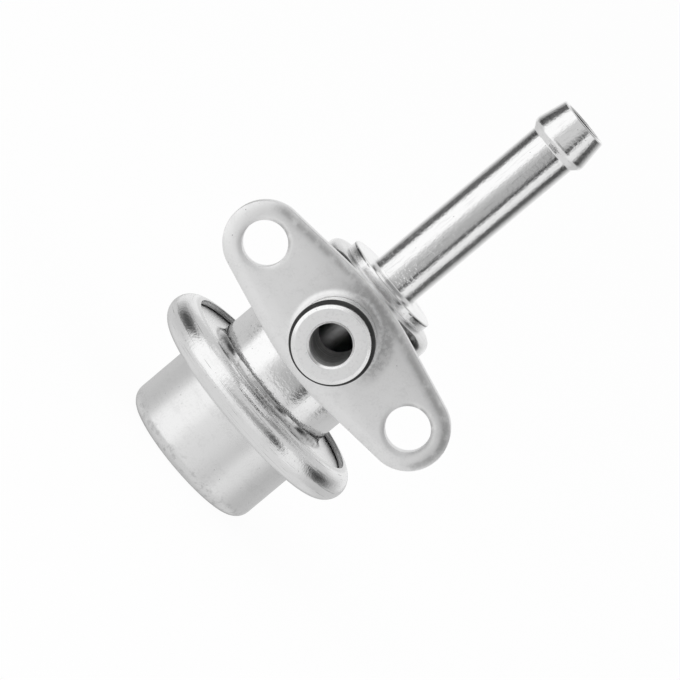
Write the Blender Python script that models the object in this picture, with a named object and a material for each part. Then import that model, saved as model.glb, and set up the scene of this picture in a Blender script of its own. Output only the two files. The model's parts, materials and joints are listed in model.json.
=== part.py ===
"""Fuel pressure regulator: a crimped diaphragm regulator with a two-bolt plate and a barbed return pipe.

Z runs along the body, from the flat end of the spring cover at the origin up to the tip of the
return pipe. The inlet spigot and the bolt plate look along -Y, and the two bolts lie along X.
"""

import math

import bmesh
import bpy
from mathutils import Vector

MM = 0.001

# Clearances between pieces that touch or are pressed or brazed together
FIT = 0.25 * MM
SEAM_FIT = 0.2 * MM
RIM_FIT = 0.1 * MM

# Spring cover, a deep-drawn cup whose rim is rolled over the other pieces of the seam
COVER_RADIUS = 11.75 * MM
COVER_SHEET = 0.8 * MM
COVER_CORNER = 2.2 * MM
COVER_DEPTH = 11.25 * MM
COVER_BEND = 0.6 * MM
SEAM_RADIUS = 15.45 * MM
SEAM_ROLL = 2.75 * MM
SEAM_LIP = 0.4 * MM
VENT_RADIUS = 0.8 * MM
VENT_WALL = 1.2 * MM

# Fuel chamber, the drawn body that carries the plate, the spigot and the return pipe
CHAMBER_RADIUS = 10.35 * MM
CHAMBER_SHEET = 1.2 * MM
CHAMBER_HEIGHT = 21.95 * MM
CHAMBER_CORNER = 1.5 * MM
CHAMBER_BEND = 0.8 * MM

# Return pipe with its hose barb, and the collar where it leaves the chamber
PIPE_RADIUS = 4.0 * MM
PIPE_WALL = 1.0 * MM
PIPE_REACH = 36.9 * MM
PIPE_EDGE = 0.25 * MM
BARB_RADIUS = 4.78 * MM
BARB_CONE = 4.7 * MM
BARB_BACK = 1.3 * MM
BARB_CREST = 0.6 * MM
COLLAR_RADIUS = 7.85 * MM
COLLAR_THICKNESS = 1.4 * MM
COLLAR_EDGE = 0.45 * MM

# Inlet spigot with its O-ring; distances run out from the axis of the body
INLET_HEIGHT = 14.5 * MM
SPIGOT_FACE = 24.05 * MM
SPIGOT_BORE = 3.0 * MM
SPIGOT_NOSE_RADIUS = 5.5 * MM
SPIGOT_NOSE_LENGTH = 1.2 * MM
SPIGOT_NOSE_CHAMFER = 0.4 * MM
SPIGOT_BORE_CHAMFER = 0.35 * MM
SPIGOT_RADIUS = 5.72 * MM
SPIGOT_TAIL_RADIUS = 4.0 * MM
SPIGOT_TAIL_LENGTH = 2.2 * MM
O_RING_SECTION = 0.8 * MM
O_RING_RADIUS = 6.0 * MM

# Bolt plate, punched from sheet, brazed round the spigot a little off square to the body
PLATE_BACK = 12.4 * MM
PLATE_THICKNESS = 2.4 * MM
PLATE_TURN = math.radians(-2.87)
BOLT_SPACING = 32.5 * MM
BOLT_HOLE_RADIUS = 3.25 * MM
PLATE_END_RADIUS = 5.95 * MM
PLATE_HALF_WIDTH = 8.1 * MM
PLATE_SIDE_RADIUS = 40.0 * MM
PLATE_ROLL = 1.9 * MM
PLATE_DROP = 0.36 * MM
PLATE_EDGE = 0.3 * MM
HOLE_ROLL = 0.35 * MM

# Diaphragm and the two pressed plates that hold its middle
MEMBRANE = 0.9 * MM
MEMBRANE_BEAD = 2.8 * MM
FOLD_RADIUS = 9.3 * MM
FOLD_BEND = 1.0 * MM
FOLD_DEPTH = 1.9 * MM
FOLD_EASE = 0.5 * MM
DISH_SHEET = 0.8 * MM
DISH_BEND = 0.8 * MM
RETAINER_RADIUS = 7.6 * MM
RETAINER_RIM = 1.4 * MM
SPRING_DISH_RADIUS = 7.6 * MM
SPRING_DISH_RIM = 2.1 * MM

# Valve: a ball with a ground flat, which swivels in its holder to lie flat on the seat
HOLDER_SHANK = 2.5 * MM
HOLDER_HEAD = 4.7 * MM
HOLDER_RIVET = 3.4 * MM
HOLDER_RIVET_LENGTH = 1.1 * MM
BALL_RADIUS = 3.0 * MM
BALL_FLAT = 2.0 * MM
SOCKET_FLOOR = 0.35 * MM
CLIP_LOW = 1.2 * MM
CLIP_THICKNESS = 0.6 * MM
CLIP_RADIUS = 3.9 * MM
BALL_SPRING_WIRE = 0.35 * MM
BALL_SPRING_RADIUS = 1.05 * MM
BALL_SPRING_ROOM = 2.6 * MM
BALL_SPRING_TURNS = 3
SEAT_BORE = 1.75 * MM
SEAT_LIP = 0.35 * MM
SEAT_LIP_HEIGHT = 0.5 * MM
SEAT_FLANGE = 0.8 * MM
SEAT_SLEEVE = 3.0 * MM

# Main spring
SPRING_WIRE = 1.4 * MM
SPRING_RADIUS = 5.8 * MM
SPRING_TURNS = 4.4
SPRING_DEAD_TURNS = 0.9
SPRING_DEAD_GAP = 0.15 * MM

# Fineness of the round forms, as segments in a turn
LARGE_SEGMENTS = 36
MEDIUM_SEGMENTS = 30
SMALL_SEGMENTS = 24
VENT_SEGMENTS = 12
COIL_SEGMENTS = 12
RING_SEGMENTS = 8
WIRE_BEVELS = 1

# Steps of a fillet in a section, and of the plate's outline
CHAMFER_STEPS = 1
COARSE_STEPS = 2
EVEN_STEPS = 3
FINE_STEPS = 4
SOCKET_STEPS = 5
BALL_STEPS = 8
PLATE_SIDE_STEPS = 10
PLATE_END_STEPS = 14

SHARP_ANGLE = math.radians(35)
SAME_POINT = 0.001 * MM
SAME_VERTEX = 0.0001 * MM
STEEPEST_MITRE = 0.5

# Heights that follow from the sizes above
seam_height = COVER_DEPTH + SEAM_ROLL
seam_room = SEAM_ROLL - COVER_SHEET
chamber_flange_top = seam_height + seam_room - SEAM_FIT
chamber_flange_low = chamber_flange_top - CHAMBER_SHEET
chamber_top = chamber_flange_top + CHAMBER_HEIGHT
bead_low = seam_height - seam_room + SEAM_FIT
rim_radius = SEAM_RADIUS + math.sqrt((seam_room - RIM_FIT)**2 - (seam_room - SEAM_FIT)**2)
membrane_top = chamber_flange_low - SEAM_FIT
membrane_low = membrane_top - MEMBRANE
retainer_low = membrane_top + FIT
spring_dish_top = membrane_low - FIT
spring_dish_low = spring_dish_top - DISH_SHEET
head_low = retainer_low + DISH_SHEET + FIT
socket_radius = BALL_RADIUS + FIT
ball_spring_bore = BALL_SPRING_RADIUS + BALL_SPRING_WIRE / 2 + FIT
ball_height = head_low + SOCKET_FLOOR + math.sqrt(socket_radius**2 - ball_spring_bore**2)
head_top = ball_height + CLIP_LOW + CLIP_THICKNESS
seat_height = ball_height + BALL_FLAT + FIT
seat_flange_low = seat_height + SEAT_LIP_HEIGHT
pipe_low = seat_flange_low + SEAT_FLANGE + FIT
pipe_tip = chamber_top + PIPE_REACH
pipe_bore = PIPE_RADIUS - PIPE_WALL
plate_front = PLATE_BACK + PLATE_THICKNESS
inlet_height = chamber_flange_top + INLET_HEIGHT
shank_hole = HOLDER_SHANK + FIT


def clear_scene():
    for obj in list(bpy.data.objects):
        bpy.data.objects.remove(obj, do_unlink=True)


def finish(name, colour, roughness, metallic):
    """A plain surface finish."""
    material = bpy.data.materials.new(name)
    material.use_nodes = True
    shader = material.node_tree.nodes["Principled BSDF"]
    shader.inputs["Base Color"].default_value = (*colour, 1.0)
    shader.inputs["Roughness"].default_value = roughness
    shader.inputs["Metallic"].default_value = metallic
    return material


def rounded(corners):
    """The points of a path through corners (radius, height, fillet, steps), with the fillets as arcs.

    A corner may leave out its fillet and steps. One step makes a chamfer.
    """
    path = []
    for index, corner in enumerate(corners):
        here = Vector(corner[:2])
        if len(corner) == 2:
            path.append(here)
            continue
        fillet = corner[2]
        steps = corner[3] if len(corner) > 3 else EVEN_STEPS
        back = (Vector(corners[index - 1][:2]) - here).normalized()
        on = (Vector(corners[(index + 1) % len(corners)][:2]) - here).normalized()
        half = back.angle(on) / 2
        start = here + back * fillet / math.tan(half)
        end = here + on * fillet / math.tan(half)
        centre = here + (back + on).normalized() * fillet / math.sin(half)
        turn = (start - centre).angle_signed(end - centre)
        joined = bool(path) and (path[-1] - start).length < SAME_POINT
        for step in range(int(joined), steps + 1):
            angle = -turn * step / steps
            arm = start - centre
            path.append(centre + Vector((
                arm.x * math.cos(angle) - arm.y * math.sin(angle),
                arm.x * math.sin(angle) + arm.y * math.cos(angle),
            )))
    return path


def beside(path, distance):
    """The path moved sideways to its left by a distance, as a sheet's face lies beside its middle."""
    moved = []
    for index, here in enumerate(path):
        before = path[max(index - 1, 0)]
        after = path[min(index + 1, len(path) - 1)]
        along_in = (here - before).normalized() if index else (after - here).normalized()
        along_out = (after - here).normalized() if index < len(path) - 1 else along_in
        normal = Vector((-along_in.y - along_out.y, along_in.x + along_out.x)).normalized()
        stretch = 1 / max(normal.dot(Vector((-along_in.y, along_in.x))), STEEPEST_MITRE)
        moved.append(here + normal * distance * stretch)
    return moved


def sheet(middle, thickness):
    """The section of bent sheet round its middle line."""
    return beside(middle, -thickness / 2) + beside(middle, thickness / 2)[::-1]


def new_object(name, data, material, parent=None):
    obj = bpy.data.objects.new(name, data)
    bpy.context.scene.collection.objects.link(obj)
    if material:
        data.materials.append(material)
    obj.parent = parent
    return obj


def frame_at(name, height, parent=None):
    """An empty on the body's axis that carries the pieces built round it."""
    empty = bpy.data.objects.new(name, None)
    bpy.context.scene.collection.objects.link(empty)
    empty.location = (0.0, 0.0, height)
    empty.empty_display_size = 2 * MM
    empty.parent = parent
    return empty


def smooth(mesh):
    mesh.shade_smooth()
    mesh.set_sharp_from_angle(angle=SHARP_ANGLE)


def turned(name, section, segments, material, parent=None, datum=0.0):
    """A solid of revolution round local Z; heights in the section are taken from the datum.

    A section whose two ends lie on the axis is a solid one, and any other is closed to a ring.
    """
    mesh = bpy.data.meshes.new(name)
    build = bmesh.new()
    points = [build.verts.new((point.x, 0.0, point.y - datum)) for point in section]
    on_axis = max(section[0].x, section[-1].x) < SAME_VERTEX
    ends = points if on_axis else points + points[:1]
    edges = [build.edges.new(pair) for pair in zip(ends[:-1], ends[1:])]
    bmesh.ops.spin(
        build,
        geom=points + edges,
        axis=(0.0, 0.0, 1.0),
        cent=(0.0, 0.0, 0.0),
        steps=segments,
        angle=2 * math.pi,
        use_merge=True,
    )
    bmesh.ops.remove_doubles(build, verts=build.verts, dist=SAME_VERTEX)
    bmesh.ops.recalc_face_normals(build, faces=build.faces)
    build.to_mesh(mesh)
    build.free()
    smooth(mesh)
    return new_object(name, mesh, material, parent)


def cut(body, cutter):
    """Takes the cutter's shape out of a body and leaves the cutter as a hidden guide."""
    cutter.hide_render = True
    cutter.display_type = "WIRE"
    modifier = body.modifiers.new("cut " + cutter.name, "BOOLEAN")
    modifier.operation = "DIFFERENCE"
    modifier.solver = "EXACT"
    modifier.object = cutter


def coil(name, radius, wire, low, high, turns, dead, dead_gap, material, parent):
    """A compression spring between two heights, with dead turns that lie close at both ends."""
    start = low + wire / 2
    rise = high - low - wire
    dead_rise = dead * (wire + dead_gap)
    live_pitch = (rise - 2 * dead_rise) / (turns - 2 * dead)
    count = round(turns * COIL_SEGMENTS)
    curve = bpy.data.curves.new(name, "CURVE")
    curve.dimensions = "3D"
    curve.bevel_depth = wire / 2
    curve.bevel_resolution = WIRE_BEVELS
    curve.use_fill_caps = True
    spline = curve.splines.new("POLY")
    spline.points.add(count)
    for index in range(count + 1):
        turn = turns * index / count
        height = start + min(turn, dead) * (wire + dead_gap)
        height += min(max(turn - dead, 0.0), turns - 2 * dead) * live_pitch
        height += max(turn - turns + dead, 0.0) * (wire + dead_gap)
        angle = 2 * math.pi * turn
        spline.points[index].co = (radius * math.cos(angle), radius * math.sin(angle), height, 1.0)
    return new_object(name, curve, material, parent)


def make_spring_cover(material):
    """Cup, flange and rolled rim are one drawn and curled sheet."""
    half = COVER_SHEET / 2
    wall = COVER_RADIUS - half
    roll = SEAM_ROLL - half
    outside = SEAM_RADIUS + roll
    middle = rounded([
        (0.0, half),
        (wall, half, COVER_CORNER - half, FINE_STEPS),
        (wall, COVER_DEPTH + half, COVER_BEND + half, COARSE_STEPS),
        (outside, COVER_DEPTH + half, roll, FINE_STEPS),
        (outside, seam_height + roll, roll, FINE_STEPS),
        (SEAM_RADIUS - SEAM_LIP, seam_height + roll),
    ])
    cover = turned("spring_cover", sheet(middle, COVER_SHEET), LARGE_SEGMENTS, material)
    vent_centre = COVER_RADIUS - COVER_CORNER - VENT_RADIUS - VENT_WALL + COVER_SHEET
    drill = turned(
        "vent_drill",
        rounded([
            (0.0, -COVER_SHEET),
            (VENT_RADIUS, -COVER_SHEET),
            (VENT_RADIUS, 2 * COVER_SHEET),
            (0.0, 2 * COVER_SHEET),
        ]),
        VENT_SEGMENTS,
        None,
    )
    drill.location = (0.0, vent_centre, 0.0)
    cut(cover, drill)
    return cover


def make_fuel_chamber(material, inlet):
    half = CHAMBER_SHEET / 2
    wall = CHAMBER_RADIUS - half
    middle = rounded([
        (rim_radius, chamber_flange_low + half),
        (wall, chamber_flange_low + half, CHAMBER_BEND + half, EVEN_STEPS),
        (wall, chamber_top - half, CHAMBER_CORNER - half, EVEN_STEPS),
        (PIPE_RADIUS + FIT, chamber_top - half),
    ])
    chamber = turned("fuel_chamber", sheet(middle, CHAMBER_SHEET), LARGE_SEGMENTS, material)
    drill = turned(
        "inlet_drill",
        rounded([
            (0.0, CHAMBER_RADIUS / 2),
            (SPIGOT_TAIL_RADIUS + FIT, CHAMBER_RADIUS / 2),
            (SPIGOT_TAIL_RADIUS + FIT, SPIGOT_FACE),
            (0.0, SPIGOT_FACE),
        ]),
        SMALL_SEGMENTS,
        None,
        inlet,
    )
    cut(chamber, drill)
    return chamber


def make_return_pipe(material):
    """One tube from the valve seat up through the chamber to the hose barb."""
    barb_height = pipe_tip - BARB_CONE
    section = rounded([
        (pipe_bore, pipe_low),
        (PIPE_RADIUS, pipe_low, PIPE_EDGE, CHAMFER_STEPS),
        (PIPE_RADIUS, barb_height - BARB_BACK, BARB_CREST / 2, CHAMFER_STEPS),
        (BARB_RADIUS, barb_height, BARB_CREST, FINE_STEPS),
        (PIPE_RADIUS, pipe_tip, PIPE_EDGE, COARSE_STEPS),
        (pipe_bore, pipe_tip, PIPE_EDGE, CHAMFER_STEPS),
    ])
    return turned("return_pipe", section, MEDIUM_SEGMENTS, material)


def make_pipe_collar(material):
    low = chamber_top + FIT
    high = low + COLLAR_THICKNESS
    section = rounded([
        (PIPE_RADIUS + FIT, low),
        (COLLAR_RADIUS, low, COLLAR_EDGE / 2, CHAMFER_STEPS),
        (COLLAR_RADIUS, high, COLLAR_EDGE, EVEN_STEPS),
        (PIPE_RADIUS + FIT, high),
    ])
    return turned("pipe_collar", section, MEDIUM_SEGMENTS, material)


def make_inlet_spigot(material, inlet):
    """Turned nose, O-ring groove, body and the tail that enters the chamber's wall."""
    nose_low = SPIGOT_FACE - SPIGOT_NOSE_LENGTH
    groove_floor = O_RING_RADIUS - 2 * O_RING_SECTION - FIT
    groove_low = nose_low - 2 * O_RING_SECTION - 2 * FIT
    shoulder = CHAMBER_RADIUS + FIT
    tail_end = shoulder - SPIGOT_TAIL_LENGTH
    section = rounded([
        (SPIGOT_BORE, SPIGOT_FACE, SPIGOT_BORE_CHAMFER, CHAMFER_STEPS),
        (SPIGOT_NOSE_RADIUS, SPIGOT_FACE, SPIGOT_NOSE_CHAMFER, COARSE_STEPS),
        (SPIGOT_NOSE_RADIUS, nose_low),
        (groove_floor, nose_low),
        (groove_floor, groove_low),
        (SPIGOT_RADIUS, groove_low, PIPE_EDGE, CHAMFER_STEPS),
        (SPIGOT_RADIUS, shoulder),
        (SPIGOT_TAIL_RADIUS, shoulder),
        (SPIGOT_TAIL_RADIUS, tail_end, PIPE_EDGE, CHAMFER_STEPS),
        (SPIGOT_BORE, tail_end),
    ])
    return turned("inlet_spigot", section, MEDIUM_SEGMENTS, material, inlet)


def make_o_ring(material, inlet):
    centre = O_RING_RADIUS - O_RING_SECTION
    height = SPIGOT_FACE - SPIGOT_NOSE_LENGTH - FIT - O_RING_SECTION
    section = [
        Vector((
            centre + O_RING_SECTION * math.cos(2 * math.pi * step / RING_SEGMENTS),
            height + O_RING_SECTION * math.sin(2 * math.pi * step / RING_SEGMENTS),
        ))
        for step in range(RING_SEGMENTS)
    ]
    return turned("spigot_o_ring", section, MEDIUM_SEGMENTS, material, inlet)


def plate_outline(inset):
    """Two long side arcs and two end arcs, each meeting the next along a shared tangent.

    The whole outline lies inside the plate's edge by the inset.
    """
    reach = BOLT_SPACING / 2
    side_centre = PLATE_HALF_WIDTH - PLATE_SIDE_RADIUS
    span = math.hypot(reach, side_centre)
    lean = math.atan2(reach, -side_centre) - math.acos((PLATE_SIDE_RADIUS - PLATE_END_RADIUS) / span)
    side = PLATE_SIDE_RADIUS - inset
    end = PLATE_END_RADIUS - inset
    half = []
    for step in range(PLATE_SIDE_STEPS):
        angle = -lean + 2 * lean * step / PLATE_SIDE_STEPS
        half.append((side * math.sin(angle), side_centre + side * math.cos(angle)))
    for step in range(PLATE_END_STEPS):
        angle = lean + (math.pi - 2 * lean) * step / PLATE_END_STEPS
        half.append((reach + end * math.sin(angle), end * math.cos(angle)))
    return half + [(-x, -y) for x, y in half]


def plate_edge():
    """The plate's wall and the wide, shallow roll that punching leaves on its front edge.

    Each point is an inset from the outline and a height.
    """
    shoulder = PLATE_ROLL / 2
    slope = math.atan2(PLATE_DROP, shoulder)
    return rounded([
        (0.0, PLATE_BACK),
        (0.0, plate_front - PLATE_DROP, PLATE_EDGE, COARSE_STEPS),
        (shoulder, plate_front, shoulder / math.tan(slope / 2), EVEN_STEPS),
        (PLATE_END_RADIUS, plate_front),
    ])[:-1]


def punch(name, radius, roll, rounds, inlet):
    """A punch whose shoulder rolls the front edge of its hole inwards."""
    section = rounded([
        (0.0, PLATE_BACK - PLATE_THICKNESS),
        (radius, PLATE_BACK - PLATE_THICKNESS),
        (radius, plate_front - roll / 2, roll, EVEN_STEPS),
        (radius + 3 * roll, plate_front + roll / 2),
        (radius + 3 * roll, plate_front + PLATE_THICKNESS),
        (0.0, plate_front + PLATE_THICKNESS),
    ])
    return turned(name, section, rounds, None, inlet)


def make_mounting_plate(material, inlet):
    mesh = bpy.data.meshes.new("mounting_plate")
    build = bmesh.new()
    loops = [
        [build.verts.new((x, y, edge.y)) for x, y in plate_outline(edge.x)]
        for edge in plate_edge()
    ]
    for low, high in zip(loops[:-1], loops[1:]):
        for index, vert in enumerate(low):
            build.faces.new((low[index - 1], vert, high[index], high[index - 1]))
    build.faces.new(loops[0])
    build.faces.new(loops[-1])
    bmesh.ops.recalc_face_normals(build, faces=build.faces)
    build.to_mesh(mesh)
    build.free()
    smooth(mesh)
    plate = new_object("mounting_plate", mesh, material, inlet)
    plate.rotation_euler = (0.0, 0.0, PLATE_TURN)
    cut(plate, punch("spigot_punch", SPIGOT_RADIUS + FIT, HOLE_ROLL, MEDIUM_SEGMENTS, inlet))
    for side, label in ((1, "right"), (-1, "left")):
        tool = punch("bolt_punch_" + label, BOLT_HOLE_RADIUS, HOLE_ROLL, SMALL_SEGMENTS, inlet)
        reach = side * BOLT_SPACING / 2
        tool.location = (reach * math.cos(PLATE_TURN), reach * math.sin(PLATE_TURN), 0.0)
        cut(plate, tool)
    return plate


def make_diaphragm(material, group):
    """Moulded membrane with a fold that hangs to the spring side and a thick clamped rim."""
    level = membrane_top - MEMBRANE / 2
    floor = level - FOLD_DEPTH
    rim_out = rim_radius
    rim_in = rim_out - MEMBRANE_BEAD
    middle = rounded([
        (shank_hole, level),
        (FOLD_RADIUS - FOLD_BEND, level, FOLD_EASE, CHAMFER_STEPS),
        (FOLD_RADIUS - FOLD_BEND, floor, FOLD_BEND, EVEN_STEPS),
        (FOLD_RADIUS + FOLD_BEND, floor, FOLD_BEND, EVEN_STEPS),
        (FOLD_RADIUS + FOLD_BEND, level, FOLD_EASE, CHAMFER_STEPS),
        (rim_in, level),
    ])
    rim = rounded([
        (rim_in, bead_low + MEMBRANE),
        (rim_in, bead_low, MEMBRANE / 4, CHAMFER_STEPS),
        (rim_out, bead_low, MEMBRANE / 3, CHAMFER_STEPS),
        (rim_out, membrane_top, MEMBRANE / 3, CHAMFER_STEPS),
        (rim_in, membrane_top),
    ])[1:-1]
    section = beside(middle, -MEMBRANE / 2) + rim + beside(middle, MEMBRANE / 2)[::-1]
    return turned("diaphragm", section, MEDIUM_SEGMENTS, material, group, group.location.z)


def dish(name, inner, radius, face, rim, material, parent, datum):
    """A pressed dish whose flat lies on a face height and whose rim stands up or hangs down."""
    side = radius - DISH_SHEET / 2
    middle = rounded([
        (inner, face),
        (side, face, DISH_BEND, EVEN_STEPS),
        (side, face + rim),
    ])
    section = sheet(middle, DISH_SHEET)
    return turned(name, section, SMALL_SEGMENTS, material, parent, datum)


def make_valve_holder(material, group):
    """Turned holder with a ball socket, riveted over below the spring dish."""
    rivet_top = spring_dish_low - FIT
    recess = CLIP_RADIUS + FIT
    clip_shelf = ball_height + CLIP_LOW - FIT
    floor = math.asin(ball_spring_bore / socket_radius)
    outside = rounded([
        (0.0, rivet_top - HOLDER_RIVET_LENGTH),
        (HOLDER_RIVET, rivet_top - HOLDER_RIVET_LENGTH, HOLDER_RIVET_LENGTH / 2, COARSE_STEPS),
        (HOLDER_RIVET, rivet_top),
        (HOLDER_SHANK, rivet_top),
        (HOLDER_SHANK, head_low),
        (HOLDER_HEAD, head_low, PIPE_EDGE, CHAMFER_STEPS),
        (HOLDER_HEAD, head_top, PIPE_EDGE, CHAMFER_STEPS),
        (recess, head_top),
        (recess, clip_shelf),
        (socket_radius, clip_shelf),
    ])
    socket = [
        Vector((
            socket_radius * math.cos(angle),
            ball_height - socket_radius * math.sin(angle),
        ))
        for angle in (
            (math.pi / 2 - floor) * step / SOCKET_STEPS for step in range(SOCKET_STEPS + 1)
        )
    ]
    spring_floor = ball_height - socket_radius - BALL_SPRING_ROOM + FIT
    bore = [Vector((ball_spring_bore, spring_floor)), Vector((0.0, spring_floor))]
    return turned(
        "valve_holder", outside + socket + bore, SMALL_SEGMENTS, material, group, group.location.z
    )


def make_valve_ball(material, group):
    top = math.asin(BALL_FLAT / BALL_RADIUS)
    section = [
        Vector((BALL_RADIUS * math.cos(angle), BALL_RADIUS * math.sin(angle)))
        for angle in (
            -math.pi / 2 + (math.pi / 2 + top) * step / BALL_STEPS for step in range(BALL_STEPS + 1)
        )
    ]
    section[0].x = 0.0
    section.append(Vector((0.0, BALL_FLAT)))
    ball = turned("valve_ball", section, SMALL_SEGMENTS, material, group)
    ball.location = (0.0, 0.0, ball_height - group.location.z)
    return ball


def make_ball_clip(material, group):
    """Ring pressed into the holder, with an inner face that follows the ball."""
    low = CLIP_LOW
    high = CLIP_LOW + CLIP_THICKNESS
    section = [
        Vector((math.sqrt(socket_radius**2 - low**2), ball_height + low)),
        Vector((CLIP_RADIUS, ball_height + low)),
        Vector((CLIP_RADIUS, ball_height + high)),
        Vector((math.sqrt(socket_radius**2 - high**2), ball_height + high)),
    ]
    return turned("ball_clip", section, SMALL_SEGMENTS, material, group, group.location.z)


def make_valve_seat(material):
    """Turned seat pressed into the lower end of the return pipe."""
    flange_high = seat_flange_low + SEAT_FLANGE
    sleeve = pipe_bore - FIT
    section = rounded([
        (SEAT_BORE, seat_height),
        (SEAT_BORE + SEAT_LIP, seat_height),
        (SEAT_BORE + 2 * SEAT_LIP, seat_flange_low),
        (PIPE_RADIUS, seat_flange_low, PIPE_EDGE / 2, CHAMFER_STEPS),
        (PIPE_RADIUS, flange_high, PIPE_EDGE / 2, CHAMFER_STEPS),
        (sleeve, flange_high),
        (sleeve, flange_high + SEAT_SLEEVE, PIPE_EDGE, CHAMFER_STEPS),
        (SEAT_BORE, flange_high + SEAT_SLEEVE),
    ])
    return turned("valve_seat", section, SMALL_SEGMENTS, material)


def make_springs(material, group, spring_seat_top):
    main = coil(
        "main_spring",
        SPRING_RADIUS,
        SPRING_WIRE,
        spring_seat_top + FIT,
        spring_dish_low - FIT,
        SPRING_TURNS,
        SPRING_DEAD_TURNS,
        SPRING_DEAD_GAP,
        material,
        None,
    )
    ball_low = ball_height - math.sqrt(BALL_RADIUS**2 - BALL_SPRING_RADIUS**2)
    spring_floor = ball_height - socket_radius - BALL_SPRING_ROOM + FIT
    small = coil(
        "ball_spring",
        BALL_SPRING_RADIUS,
        BALL_SPRING_WIRE,
        spring_floor + FIT - group.location.z,
        ball_low - FIT - group.location.z,
        BALL_SPRING_TURNS,
        0.0,
        0.0,
        material,
        group,
    )
    return main, small


def build_regulator():
    clear_scene()
    satin = finish("satin_zinc", (0.72, 0.72, 0.72), 0.38, 1.0)
    bright = finish("bright_zinc", (0.82, 0.82, 0.81), 0.16, 1.0)
    plate_zinc = finish("plate_zinc", (0.70, 0.70, 0.70), 0.42, 1.0)
    turned_steel = finish("turned_steel", (0.66, 0.66, 0.66), 0.3, 1.0)
    polished = finish("polished_steel", (0.85, 0.85, 0.84), 0.1, 1.0)
    spring_steel = finish("spring_steel", (0.45, 0.45, 0.46), 0.35, 1.0)
    brass = finish("brass", (0.78, 0.6, 0.32), 0.3, 1.0)
    black_rubber = finish("black_rubber", (0.02, 0.02, 0.02), 0.5, 0.0)
    fabric_rubber = finish("fabric_rubber", (0.06, 0.05, 0.04), 0.7, 0.0)

    inlet = frame_at("inlet_axis", inlet_height)
    inlet.rotation_euler = (math.pi / 2, 0.0, 0.0)
    group = frame_at("valve_lift_axis", membrane_low)

    make_spring_cover(satin)
    make_fuel_chamber(bright, inlet)
    make_return_pipe(bright)
    make_pipe_collar(bright)
    make_inlet_spigot(turned_steel, inlet)
    make_o_ring(black_rubber, inlet)
    make_mounting_plate(plate_zinc, inlet)
    make_valve_seat(brass)

    make_diaphragm(fabric_rubber, group)
    middle = DISH_SHEET / 2
    dish("diaphragm_retainer", shank_hole, RETAINER_RADIUS, retainer_low + middle, RETAINER_RIM,
         satin, group, group.location.z)
    dish("spring_dish", shank_hole, SPRING_DISH_RADIUS, spring_dish_low + middle, -SPRING_DISH_RIM,
         satin, group, group.location.z)
    spring_seat_low = COVER_SHEET + FIT
    dish("spring_seat", 0.0, SPRING_DISH_RADIUS, spring_seat_low + middle, SPRING_DISH_RIM,
         satin, None, 0.0)
    make_valve_holder(brass, group)
    make_valve_ball(polished, group)
    make_ball_clip(spring_steel, group)
    make_springs(spring_steel, group, spring_seat_low + DISH_SHEET)


build_regulator()
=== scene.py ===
import json
from math import acos, asin, atan2, cos, hypot, pi, radians, sin, sqrt, tan

import bmesh
import bpy
from mathutils import Matrix, Vector


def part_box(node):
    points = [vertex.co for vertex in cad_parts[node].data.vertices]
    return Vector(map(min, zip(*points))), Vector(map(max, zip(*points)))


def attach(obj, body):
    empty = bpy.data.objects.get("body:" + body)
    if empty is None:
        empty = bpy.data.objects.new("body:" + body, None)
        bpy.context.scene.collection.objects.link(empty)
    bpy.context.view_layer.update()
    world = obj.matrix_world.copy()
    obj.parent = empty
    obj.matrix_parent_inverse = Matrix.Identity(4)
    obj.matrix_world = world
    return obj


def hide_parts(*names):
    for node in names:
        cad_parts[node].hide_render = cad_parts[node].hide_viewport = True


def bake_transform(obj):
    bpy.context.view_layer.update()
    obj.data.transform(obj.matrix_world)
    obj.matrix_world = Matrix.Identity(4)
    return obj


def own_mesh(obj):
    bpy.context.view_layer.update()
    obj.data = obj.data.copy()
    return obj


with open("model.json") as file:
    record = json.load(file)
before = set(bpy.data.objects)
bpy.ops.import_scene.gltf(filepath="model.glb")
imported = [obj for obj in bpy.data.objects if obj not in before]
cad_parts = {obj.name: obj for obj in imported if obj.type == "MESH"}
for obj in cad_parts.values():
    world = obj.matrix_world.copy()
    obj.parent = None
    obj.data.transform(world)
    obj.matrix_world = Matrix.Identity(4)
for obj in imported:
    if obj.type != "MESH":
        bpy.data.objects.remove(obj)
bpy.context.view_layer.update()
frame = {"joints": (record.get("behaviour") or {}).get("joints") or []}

MM = 0.001

# The photograph's frame and the camera that fits the object's circles and edges in it
PHOTO_SIZE = 680
AIM = Vector((0.0, 0.0, 29.8 * MM))
CAMERA_DISTANCE = 600 * MM
CAMERA_RISE = radians(8.0)
CAMERA_SIDE = radians(-2.5)
CAMERA_ROLL = radians(-50.02)
PIXELS_PER_MM = 7.05
AIM_PIXEL = (342.1, 325.6)
SENSOR = 36.0

# Fineness of the round forms
LARGE_ROUNDS = 192
MEDIUM_ROUNDS = 144
SMALL_ROUNDS = 96
COIL_POINTS = 480
WIRE_ROUNDS = 16
FILLET_STEPS = 8
FOLD_SECTORS = 8
SECTOR_ROUNDS = 12
EDGE_STEPS = 4
SHOULDER_STEPS = 10
PLATE_SIDE_STEPS = 36
PLATE_END_STEPS = 44
SHARP_ANGLE = radians(32)
WIRE_SHARP_ANGLE = radians(60)
SAME_POINT = 0.001 * MM
SAME_VERTEX = 0.0001 * MM
STEEPEST_MITRE = 0.5

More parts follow.
